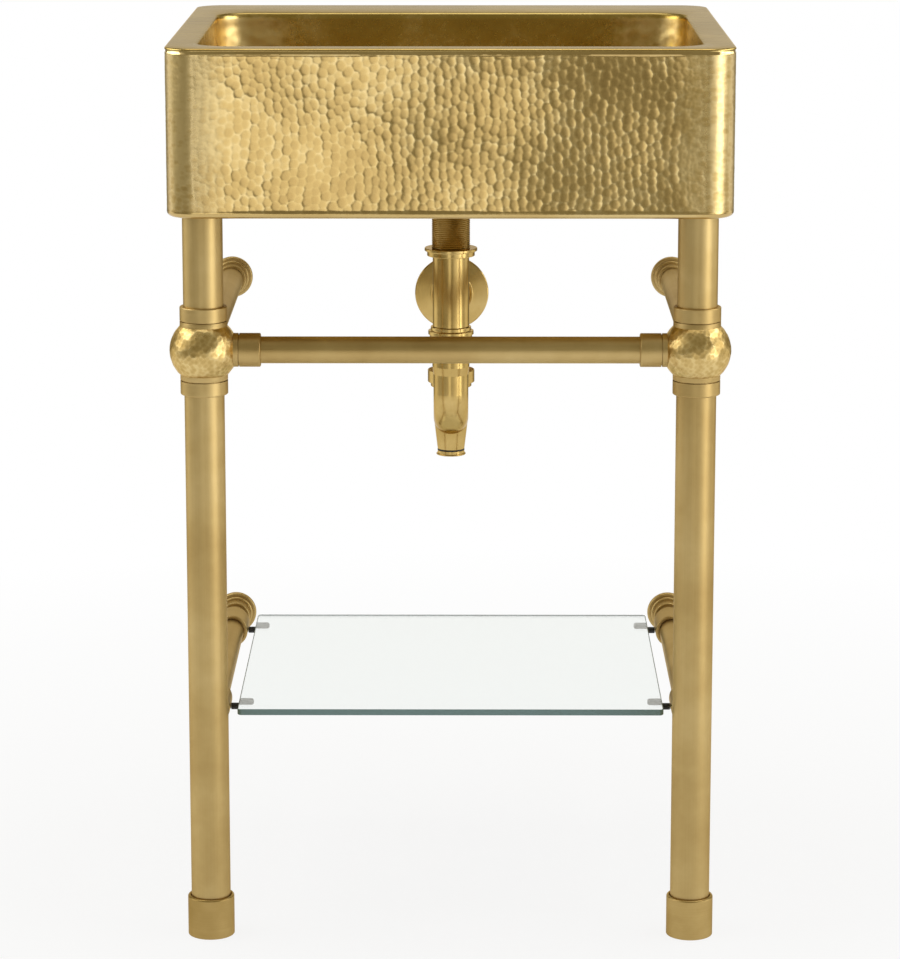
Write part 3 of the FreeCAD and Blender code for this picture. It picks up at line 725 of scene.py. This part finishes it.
@dataclass
class Bowl:
    """The bowl with its flat rim and back ledge, from one sheet that is hammered inside."""

    rim_edge: float = 0.0015
    rim_width: float = 0.028
    rim_ledge: float = 0.092
    lip: float = 0.003
    corner: float = 0.034
    lean: float = 0.008
    floor_rise: float = 0.033
    floor_round: float = 0.022
    floor_fall: float = 0.005
    floor_ease: float = 1.15
    drain_seat: float = 0.035
    drain_hole: float = 0.019975
    round_steps: int = 5
    wall_rings: int = 44
    knee_rings: int = 13
    floor_rings: int = 76
    mouth_ring: int = 12
    middle_ring: int = 40
    wall_start: float = 0.001
    wall_fade: Span = (0.002, 0.012)
    seat_fade: Span = (0.9, 1.0)
    level_range: Span = (0.75, 0.97)
    wall_share: float = 0.3
    side_range: Span = (0.14, 0.2)
    corner_across: Span = (0.15, 0.2)
    corner_along: Span = (0.05, 0.1)
    corner_extra: float = 0.9
    wall_patina: float = 0.35
    highlight_top: float = 0.02
    dark_top: float = 0.6
    track: Track = Track(front=158, front_corner=20, side=104, back_corner=20, back=158)
    marks: HammerMarks = HammerMarks(across=0.012, up=0.013, depth=0.0004, reach=0.0092, bluntness=2.3,
                                     seed=8.0)

    def __post_init__(self) -> None:
        """Take the bowl's place from its node and from the skirt's."""
        low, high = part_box("bowl")
        self.half, self.front, self.back, self.rim = high[0], low[1], high[1], high[2]
        self.mouth = (self.half - self.rim_width, self.front + self.rim_width, self.back - self.rim_ledge)
        self.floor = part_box("apron")[0][2] + self.floor_rise
        self.knee = self.floor + self.floor_round

    def level(self, ring: Array, z: float, share: float = 0.0) -> Ring:
        """Set a flat ring at a height, with its share of hammering."""
        return np.column_stack([ring, np.full(len(ring), z)]), share

    def rim_ring(self, inset: float, z: float) -> Ring:
        """Draw a ring of the rim's outline."""
        half, front, back = self.half - inset, self.front + inset, self.back - inset
        return self.level(self.track.lay(half, front, back, BASIN_CORNER - inset)[0], z)

    def bowl_ring(self, inset: float, round_in: float, z: float, share: float = 0.0) -> Ring:
        """Draw a ring of the bowl's outline, with its corners tightened by round_in."""
        half, front, back = self.mouth[0] - inset, self.mouth[1] + inset, self.mouth[2] - inset
        return self.level(self.track.lay(half, front, back, self.corner - round_in)[0], z, share)

    def leant(self, z: float) -> float:
        """Give how far the wall has leant in at a height."""
        return self.lean * (self.rim - z) / (self.rim - self.floor)

    def inner_rings(self) -> list[Ring]:
        """Draw the rings from the rim's edge over the lip and down the wall to the floor's edge.

        Returns:
            Each ring's points and its share of hammering.
        """
        quarter = np.linspace(0, QUARTER, self.round_steps)
        edge, lip = self.rim_edge, self.lip
        rings = [self.rim_ring(0, self.rim - BASIN_SHEET)]
        rings += [self.rim_ring(edge * (1 - math.cos(t)), self.rim - edge * (1 - math.sin(t)))
                  for t in quarter]
        rings += [self.bowl_ring(-lip * (1 - math.sin(t)), -lip * (1 - math.sin(t)),
                                 self.rim - lip * (1 - math.cos(t))) for t in quarter]
        heights = np.linspace(self.rim - lip - self.wall_start, self.knee, self.wall_rings)
        shares = smooth_step(self.rim - lip - heights, *self.wall_fade)
        rings += [self.bowl_ring(self.leant(z), 0, z, share) for z, share in zip(heights, shares)]
        for t in np.linspace(0, QUARTER, self.knee_rings)[1:]:
            inset = self.floor_round * (1 - math.cos(t))
            rings.append(self.bowl_ring(self.leant(self.knee) + inset, inset,
                                        self.knee - self.floor_round * math.sin(t), 1.0))
        return rings

    def outer_rings(self, edge: Array) -> list[Ring]:
        """Draw the rings from the floor's edge to the drain and back underneath to the rim.

        Args:
            edge: the x and y of the floor's edge.

        Returns:
            Each ring's points and its share of hammering.
        """
        centre = (0.0, (self.mouth[1] + self.mouth[2]) / 2)
        seat = self.track.lay_round(centre, self.drain_seat)
        hole = self.track.lay_round(centre, self.drain_hole)
        rings = []
        for share in np.linspace(0, 1, self.floor_rings)[1:]:
            rings.append(self.level(edge + (seat - edge) * share ** self.floor_ease,
                                    self.floor - self.floor_fall * share,
                                    float(1 - smooth_step(np.array(share), *self.seat_fade))))
        under = self.floor - self.floor_fall
        rings += [self.level(hole, under), self.level(hole, under - BASIN_SHEET),
                  self.level(seat, under - BASIN_SHEET), self.level(edge, self.floor - BASIN_SHEET)]
        for t in np.linspace(QUARTER, 0, self.round_steps)[1:]:
            inset = self.floor_round * (1 - math.cos(t))
            rings.append(self.bowl_ring(self.leant(self.knee) + (inset - BASIN_SHEET * math.cos(t)), inset,
                                        self.knee - (self.floor_round + BASIN_SHEET) * math.sin(t)))
        rings += [self.bowl_ring(self.leant(z) - BASIN_SHEET, -BASIN_SHEET, z)
                  for z in np.linspace(self.knee, self.rim - BASIN_SHEET, self.round_steps)[1:]]
        return rings

    def hammered(self) -> tuple[Array, dict[Mark, Array]]:
        """Hammer the sheet, deepest in the back corners and least in the middle of the walls.

        Returns:
            The points, by column and ring, and what the sheet stores at each.
        """
        rings = self.inner_rings()
        rings += self.outer_rings(rings[-1][0][:, :2])
        places = np.stack([ring for ring, share in rings], axis=1)
        facing = np.cross(np.roll(places, -1, axis=0) - np.roll(places, 1, axis=0),
                          np.roll(places, -1, axis=1) - np.roll(places, 1, axis=1))
        facing /= np.maximum(np.linalg.norm(facing, axis=2, keepdims=True), MERGE_GAP ** 2)
        inward = np.array([0.0, places[:, self.middle_ring, 1].mean(), places[..., 2].max()]) - places
        facing *= np.sign(np.sum(facing * inward, axis=2, keepdims=True))
        level = smooth_step(facing[..., 2], *self.level_range)
        down = np.cumsum(np.linalg.norm(np.diff(places, axis=1, prepend=places[:, :1]), axis=2), axis=1)
        on_wall = self.marks.depths(run_length(places[:, self.mouth_ring]), down)
        on_floor = self.marks.depths(places[..., 0], places[..., 1])
        depths = on_wall * (1 - level) + on_floor * level
        aside = abs(places[..., 0])
        corner = smooth_step(aside, *self.corner_across) * smooth_step(places[..., 1], *self.corner_along)
        wall = self.wall_share + (1 - self.wall_share) * smooth_step(aside, *self.side_range)
        wall *= 1 + self.corner_extra * corner
        share = np.array([share for ring, share in rings])[None, :] * (wall * (1 - level) + level)
        hollows = self.marks.patina(depths) * np.minimum(share, 1)
        hollows *= self.wall_patina + (1 - self.wall_patina) * level
        # The bowl's back corners count as planed: duller, and painted paler as a painted highlight.
        planed = corner * (1 - level) * (share > 0)
        return places - facing * (depths * share)[..., None], {Mark.DENT: hollows, Mark.PLANED: planed}

    def build(self) -> list[Piece]:
        """Build and dress the bowl, with a darker brass along the rim as painted shade and a bright line at
        its edge as a painted highlight.

        Returns:
            The one piece.
        """
        piece = folded_sheet("hammered_bowl", *self.hammered(), SHEET_CREASE)
        dress(piece, BOWL_SHADE_AND_HIGHLIGHT.material(Grain.BY_HAND, marked=True), RIM_PAINTED_SHADE.material(Grain.ALONG_X),
              POLISHED.material(Grain.ALONG_X))
        # The rim's edge faces get polished brass as a painted highlight, and the rim's top gets the darker
        # rim brass as painted shade.
        for face in piece.data.polygons:
            edge = max(abs(face.center.x) - self.half, self.front - face.center.y) + self.rim_edge
            drop = self.rim - face.center.z
            painted_highlight = edge > 0 and self.highlight_top * self.rim_edge < drop < self.rim_edge
            face.material_index = 2 if painted_highlight else int(drop < self.dark_top * self.lip)
        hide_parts("bowl")
        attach(piece, "stand")
        return [piece]


@dataclass
class BallJoint:
    """A hammered ball with a turned ring and a spigot at each of its four ports."""

    side: str
    radius: float = 0.0325
    leg_ring: float = 0.0225
    leg_spigot: float = 0.0208
    rail_ring: float = 0.0160
    rail_spigot: float = 0.0145
    ring_width: float = 0.0046
    ring_bevel: float = 0.0006
    spigot_reach: float = 0.0045
    crease: float = 40.0
    near_end: float = 0.9
    at_end: float = 0.999
    dent_pitch: float = 0.0041
    dent_depth: float = 0.00026
    dent_reach: float = 0.003
    bluntness: float = 2.4
    packing: float = 0.87
    wander: float = 0.2
    blow_range: Span = (0.7, 1.3)
    left_seed: int = 5
    right_seed: int = 6

    def centre(self) -> Vector:
        """Give the ball's middle, where its leg and the front rail cross.

        Returns:
            The middle.
        """
        leg_low, leg_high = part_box(f"{self.side}_upper_leg")
        rail_low, rail_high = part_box("front_rail")
        return Vector(((leg_low[0] + leg_high[0]) / 2, (leg_low[1] + leg_high[1]) / 2,
                       (rail_low[2] + rail_high[2]) / 2))

    def build(self) -> list[Piece]:
        """Build and dress the ball with its four rings.

        Returns:
            The one piece.
        """
        centre = self.centre()
        leg, rail = (self.leg_ring, self.leg_spigot), (self.rail_ring, self.rail_spigot)
        ports = (((0, 0, 1), leg), ((0, 0, -1), leg), ((-math.copysign(1.0, centre.x), 0, 0), rail),
                 ((0, 1, 0), rail))
        rings = [self.ring(centre, Vector(way), *size) for way, size in ports]
        ball = self.ball(centre)
        join_parts(rings, ball)
        bpy.ops.object.shade_smooth_by_angle(angle=math.radians(self.crease))
        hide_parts(f"{self.side}_ball_joint")
        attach(ball, "stand")
        return [ball]

    def ball(self, centre: Vector) -> Piece:
        """Hammer a ball all over, with blows that are spread evenly but loosely.

        Args:
            centre: the ball's middle.

        Returns:
            The ball.
        """
        start_piece()
        bpy.ops.mesh.primitive_ico_sphere_add(subdivisions=6, radius=self.radius)
        ball = bpy.context.object
        ball.name = ball.data.name = f"{self.side}_hammered_ball"
        count = int(4 * math.pi * self.radius ** 2 / (self.packing * self.dent_pitch ** 2))
        chance = np.random.default_rng(self.left_seed if centre.x < 0 else self.right_seed)
        marks = kdtree.KDTree(count)
        for index in range(count):
            height = 1 - 2 * (index + 0.5) / count
            turn = math.pi * (3 - math.sqrt(5)) * index
            flat = math.sqrt(1 - height * height)
            place = Vector((flat * math.cos(turn), flat * math.sin(turn), height)) * self.radius
            marks.insert(place + Vector(chance.normal(0, self.wander * self.dent_pitch, 3)), index)
        marks.balance()
        blows = self.dent_depth * chance.uniform(*self.blow_range, count)
        dents = []
        for vertex in ball.data.vertices:
            near = marks.find_n(vertex.co, len(NEIGHBOURS))
            depth = max(0.0, *(blows[index] - self.dent_depth * (gap / self.dent_reach) ** self.bluntness
                               for _, index, gap in near))
            dents.append(depth / self.dent_depth - HammerMarks.mean)
            vertex.co = vertex.co * (1 - depth / self.radius) + centre
        stored = ball.data.attributes.new(Mark.DENT.value, "FLOAT", "POINT")
        stored.data.foreach_set("value", np.array(dents, dtype=np.float32))
        dress(ball, BALL.material(Grain.BY_HAND, marked=True))
        return ball

    def ring(self, centre: Vector, way: Vector, outer: float, spigot: float) -> Piece:
        """Turn one port's ring and the spigot that stands in it.

        Args:
            centre: the ball's middle.
            way: the direction the port faces.
            outer: the ring's radius.
            spigot: the spigot's radius.

        Returns:
            The ring.
        """
        middle = math.sqrt(self.radius ** 2 - outer ** 2)
        start_piece()
        bpy.ops.mesh.primitive_cylinder_add(vertices=96, radius=outer, depth=2 * self.ring_width,
                                            location=centre + way * middle,
                                            rotation=way.to_track_quat("Z", "Y").to_euler())
        ring = bpy.context.object
        bpy.ops.object.transform_apply(location=True, rotation=True, scale=True)
        bpy.ops.object.mode_set(mode="EDIT")
        bpy.ops.mesh.select_mode(type="FACE")
        bpy.ops.mesh.select_all(action="DESELECT")
        bevel = partial(bpy.ops.mesh.bevel, offset=self.ring_bevel, segments=2, affect="EDGES")
        inset = partial(bpy.ops.mesh.inset, thickness=outer - self.ring_bevel - spigot)
        for work, facing in ((bevel, self.near_end), (inset, self.at_end)):
            bpy.ops.object.mode_set(mode="OBJECT")
            for face in ring.data.polygons:
                face.select = face.normal.dot(way) > facing
            bpy.ops.object.mode_set(mode="EDIT")
            work()
        bpy.ops.mesh.extrude_region_move(TRANSFORM_OT_translate={"value": way * self.spigot_reach})
        bpy.ops.object.mode_set(mode="OBJECT")
        dress(ring, SATIN.material(Grain.ROUND_X if way.x else Grain.ROUND_Y if way.y else Grain.ROUND_Z))
        return ring


@dataclass
class Drain:
    """The drain's flange in the bowl and its long threaded tail."""

    thread_radius: float = 0.018975
    thread_pitch: float = 0.0019
    thread_depth: float = 0.0008
    thread_steps: int = 4
    thread_lead: float = 0.001
    thread_end: float = 0.012
    wall: float = 0.0025
    flange_edge: float = 0.0015
    bore_edge: float = 0.0008
    round_steps: int = 5
    columns: int = 72
    crease: float = 35.0

    def build(self) -> list[Piece]:
        """Build and dress the threaded drain, bright on the flange.

        Returns:
            The one piece.
        """
        low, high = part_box("drain_body")
        bottom, top, flange = low[2], high[2], (high[0] - low[0]) / 2
        seat = top - 2 * self.flange_edge
        thread_top = seat - self.thread_end
        heights = np.arange(bottom + self.thread_lead, thread_top, self.thread_pitch / self.thread_steps)
        turn = np.linspace(0, 2 * math.pi, self.columns, endpoint=False)[:, None]
        phase = heights[None, :] / self.thread_pitch - turn / (2 * math.pi)
        tooth = self.thread_depth * abs(2 * (phase - np.floor(phase)) - 1)
        bore = self.thread_radius - self.wall
        head = [(self.thread_radius - self.thread_depth, bottom)]
        tail = [(self.thread_radius, thread_top + self.thread_lead), (self.thread_radius, seat),
                (flange, seat), (flange, seat + self.flange_edge)]
        tail += [(flange - self.flange_edge * (1 - math.cos(t)), seat + self.flange_edge * (1 + math.sin(t)))
                 for t in np.linspace(0, QUARTER, self.round_steps)[1:]]
        tail += [(bore + self.bore_edge, top), (bore, top - self.bore_edge), (bore, bottom)]
        radius = np.hstack([self.rows(head, 0), self.thread_radius - tooth, self.rows(tail, 0)])
        height = np.hstack([self.rows(head, 1), np.broadcast_to(heights, tooth.shape), self.rows(tail, 1)])
        places = np.stack([(low[0] + high[0]) / 2 + radius * np.cos(turn),
                           (low[1] + high[1]) / 2 + radius * np.sin(turn), height], axis=2)
        piece = folded_sheet("threaded_drain", places, {}, self.crease)
        # The threaded tail's dark aged brass is partly painted shade for the shadow under the basin.
        dress(piece, AGED.material(Grain.ROUND_Z), POLISHED.material(Grain.BY_HAND))
        for face in piece.data.polygons:
            face.material_index = int(face.center.z > seat)
        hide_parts("drain_body")
        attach(piece, "stand")
        return [piece]

    def rows(self, profile: list[Span], part: int) -> Array:
        """Repeat one number of a turned profile for every column."""
        return np.tile(np.array(profile)[:, part], (self.columns, 1))


@dataclass
class Frame:
    """The CAD nodes, with the grain of those that aren't turned round an upright axis."""

    grains: dict[Grain, tuple[str, ...]] = field(default_factory=lambda: {
        Grain.ALONG_X: ("front_rail",),
        Grain.ALONG_Y: ("upper_rail", "shelf_rail", "trap_arm"),
        Grain.ALONG_Z: ("upper_leg", "lower_leg", "tail_tube", "trap_bend"),
        Grain.ROUND_X: ("front_collar",),
        Grain.ROUND_Y: ("back_collar", "shelf_rail_saddle", "upper_wall_flange", "lower_wall_flange",
                        "wall_escutcheon", "peg_collars")})

    def dress(self) -> int:
        """Give every node its finish.

        Returns:
            How many nodes were dressed.
        """
        metals = {Slot.HAMMERED: HAMMERED, Slot.SATIN: SATIN, Slot.POLISHED: POLISHED, Slot.AGED: AGED}
        plain = {Slot.GLASS: GLASS.material(), Slot.RUBBER: RUBBER.material(), Slot.STEEL: STEEL.material()}
        for name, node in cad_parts.items():
            slot = Slot(node.data.materials[0].name.split(".")[0])
            piece = name.removeprefix("left_").removeprefix("right_")
            grain = next((grain for grain, pieces in self.grains.items() if piece in pieces), Grain.ROUND_Z)
            # The feet get the darker ferrule brass as painted shade.
            metal = FERRULE_PAINTED_SHADE if piece == "foot" else metals.get(slot)
            made = metal.material(grain) if metal else plain[slot]
            for index in range(len(node.data.materials)):
                node.data.materials[index] = made
        return len(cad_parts)


@dataclass(frozen=True)
class SoftBox:
    """One studio light: its place, what it faces, its width and height, and how bright its face is."""

    name: str
    place: Place
    aim: Place
    width: float
    height: float
    brightness: float

    def hang(self) -> None:
        """Hang the light, unseen by the camera itself."""
        light = bpy.data.lights.new(self.name, "AREA")
        light.shape = "RECTANGLE"
        light.size, light.size_y = self.width, self.height
        light.energy = self.brightness * math.pi * self.width * self.height
        lamp = bpy.data.objects.new(self.name, light)
        lamp.location = self.place
        way = Vector(self.aim) - Vector(self.place)
        lamp.rotation_euler = way.to_track_quat("-Z", "Y").to_euler()
        lamp.visible_camera = False
        bpy.context.scene.collection.objects.link(lamp)


@dataclass(frozen=True)
class Glow:
    """A soft pool of light in the surroundings: its place, outer and inner half width, and brightness.

    Angles are in degrees. The azimuth runs from the front towards the right. A pool is wider than it is high
    by its flatness.
    """

    azimuth: float
    elevation: float
    outer: float
    inner: float
    gain: float
    flatness: float = 2.0

    def way(self) -> Vector:
        """Give the pool's direction in surroundings that are stretched upwards by its flatness."""
        turn, lift = math.radians(self.azimuth), math.radians(self.elevation)
        return Vector((math.sin(turn), -math.cos(turn), self.flatness * math.tan(lift))).normalized()


@dataclass
class Studio:
    """A white studio with a pale floor, pools of light, soft boxes and the photograph's camera."""

    camera_place: Place = (0.0125, -3.6178, 1.1930)
    camera_pitch: float = 11.40
    camera_turn: float = 0.2156
    lens: float = 137.43
    sensor: float = 36.0
    shift: float = -0.06
    floor_radius: float = 2.4
    floor_tone: Tone = (0.88, 0.89, 0.92)
    seen_reach: Span = (0.4, 1.4)
    seen_share: Span = (0.86, 1.0)
    mirrored_reach: Span = (0.3, 1.0)
    mirrored_share: Span = (0.66, 1.0)
    room_level: float = 0.32
    room_tone: Tone = (1.0, 0.93, 0.68)
    glows: tuple[Glow, ...] = (
        Glow(180.0, 11.0, 40.0, 12.0, 0.68), Glow(-7.4, -8.0, 9.6, 6.2, 0.98, 1.15),
        Glow(-15.0, -8.0, 19.0, 2.0, 0.16, 1.5), Glow(50.0, -4.0, 44.0, 7.0, 1.1, 4.0),
        Glow(58.0, -6.0, 19.0, 4.0, 3.0, 2.0), Glow(63.0, 14.0, 13.0, 3.0, 3.0, 1.2),
        Glow(-70.0, 30.0, 32.0, 4.0, 0.45, 1.0), Glow(92.0, 12.0, 22.0, 6.0, 1.8, 1.5),
        Glow(-92.0, 12.0, 22.0, 6.0, 1.8, 1.5), Glow(115.0, -12.0, 26.0, 3.0, 0.8),
        Glow(-115.0, -12.0, 26.0, 3.0, 0.8))
    boxes: tuple[SoftBox, ...] = (
        SoftBox("overhead_box", (0.0, 0.1, 2.8), (0.0, 0.1, 0.0), 1.8, 1.6, 2.2),
        SoftBox("left_box", (-0.75, -0.1, 1.07), (0.2, 0.1, 0.85), 0.8, 0.3, 3.0),
        SoftBox("right_box", (0.75, -0.1, 1.07), (-0.2, 0.1, 0.85), 0.8, 0.3, 3.0))

    def build(self) -> None:
        """Set the view, the world, the floor, the lights and the camera."""
        scene = bpy.context.scene
        scene.view_settings.view_transform = "Standard"
        scene.world = self.make_world()
        self.make_floor()
        for box in self.boxes:
            box.hang()
        scene.camera = self.make_camera()
        scene.collection.objects.link(scene.camera)

    def make_world(self) -> bpy.types.World:
        """Make the surroundings, white to the camera and a dim warm room with pools of light to the object.

        Returns:
            The world.
        """
        nodes = NodeTree(bpy.data.worlds.new("white_studio"))
        way = nodes.add("TexCoord").outputs["Generated"]
        level: Socket | float = 0.0
        for glow in self.glows:
            tall = nodes.add("VectorMath", way, (1.0, 1.0, glow.flatness), operation="MULTIPLY")
            flat = nodes.add("VectorMath", tall.outputs[0], operation="NORMALIZE")
            near = nodes.add("VectorMath", flat.outputs[0], glow.way(), operation="DOT_PRODUCT")
            ease = nodes.add("MapRange", Value=near.outputs["Value"], To_Max=glow.gain,
                             From_Min=math.cos(math.radians(glow.outer)),
                             From_Max=math.cos(math.radians(glow.inner)))
            ease.interpolation_type = "SMOOTHSTEP"
            level = nodes.add("Math", ease.outputs[0], level).outputs[0]
        pools = nodes.add("Background", Color=(*WHITE, 1.0), Strength=level)
        room = nodes.add("Background", Color=(*self.room_tone, 1.0), Strength=self.room_level)
        white = nodes.add("Background", Color=(*WHITE, 1.0), Strength=1.0)
        both = nodes.add("AddShader", pools.outputs[0], room.outputs[0])
        seen = nodes.add("LightPath").outputs["Is Camera Ray"]
        choice = nodes.add("MixShader", seen, both.outputs[0], white.outputs[0])
        return nodes.finish(Surface=choice.outputs[0])

    def make_floor(self) -> None:
        """Lay the pale floor, which looks white to the camera and in reflections but keeps some shadow."""
        start_piece()
        bpy.ops.mesh.primitive_circle_add(vertices=96, radius=self.floor_radius, fill_type="NGON")
        floor = bpy.context.object
        floor.name = "studio_floor"
        nodes = NodeTree(bpy.data.materials.new("pale_floor"))
        ray = nodes.add("LightPath").outputs
        where = nodes.add("TexCoord").outputs["Object"]
        reach = nodes.add("VectorMath", where, operation="LENGTH").outputs["Value"]
        seen = nodes.sum(ray["Is Transmission Ray"], 1.0, ray["Is Camera Ray"])
        direct = nodes.spread(seen, WHOLE, (0.0, nodes.spread(reach, self.seen_reach, self.seen_share)))
        mirrored = nodes.spread(ray["Is Glossy Ray"], WHOLE,
                                (0.0, nodes.spread(reach, self.mirrored_reach, self.mirrored_share)))
        pale = nodes.add("BsdfDiffuse", Color=(*self.floor_tone, 1.0))
        white = nodes.add("Emission", Color=(*WHITE, 1.0), Strength=1.0)
        mix = nodes.add("MixShader", nodes.sum(direct, 1.0, mirrored), pale.outputs[0], white.outputs[0])
        dress(floor, nodes.finish(Surface=mix.outputs[0]))

    def make_camera(self) -> Piece:
        """Set up the photograph's camera.

        Returns:
            The camera.
        """
        view = bpy.data.cameras.new("photo_camera")
        view.lens = self.lens
        view.sensor_width = self.sensor
        view.shift_y = self.shift
        camera = bpy.data.objects.new("photo_camera", view)
        camera.location = self.camera_place
        camera.rotation_euler = (math.radians(90 - self.camera_pitch), 0, math.radians(self.camera_turn))
        return camera


def main() -> None:
    """Dress the nodes, then build the new pieces and the studio."""
    logging.basicConfig(level=logging.INFO, format="%(message)s")
    log.info("dressed %d nodes", Frame().dress())
    for assembly in (Skirt(), Bowl(), BallJoint("left"), BallJoint("right"), Drain()):
        for piece in assembly.build():
            log.info("%s: %d faces", piece.name, len(piece.data.polygons))
    Studio().build()


if __name__ == "__main__":
    main()
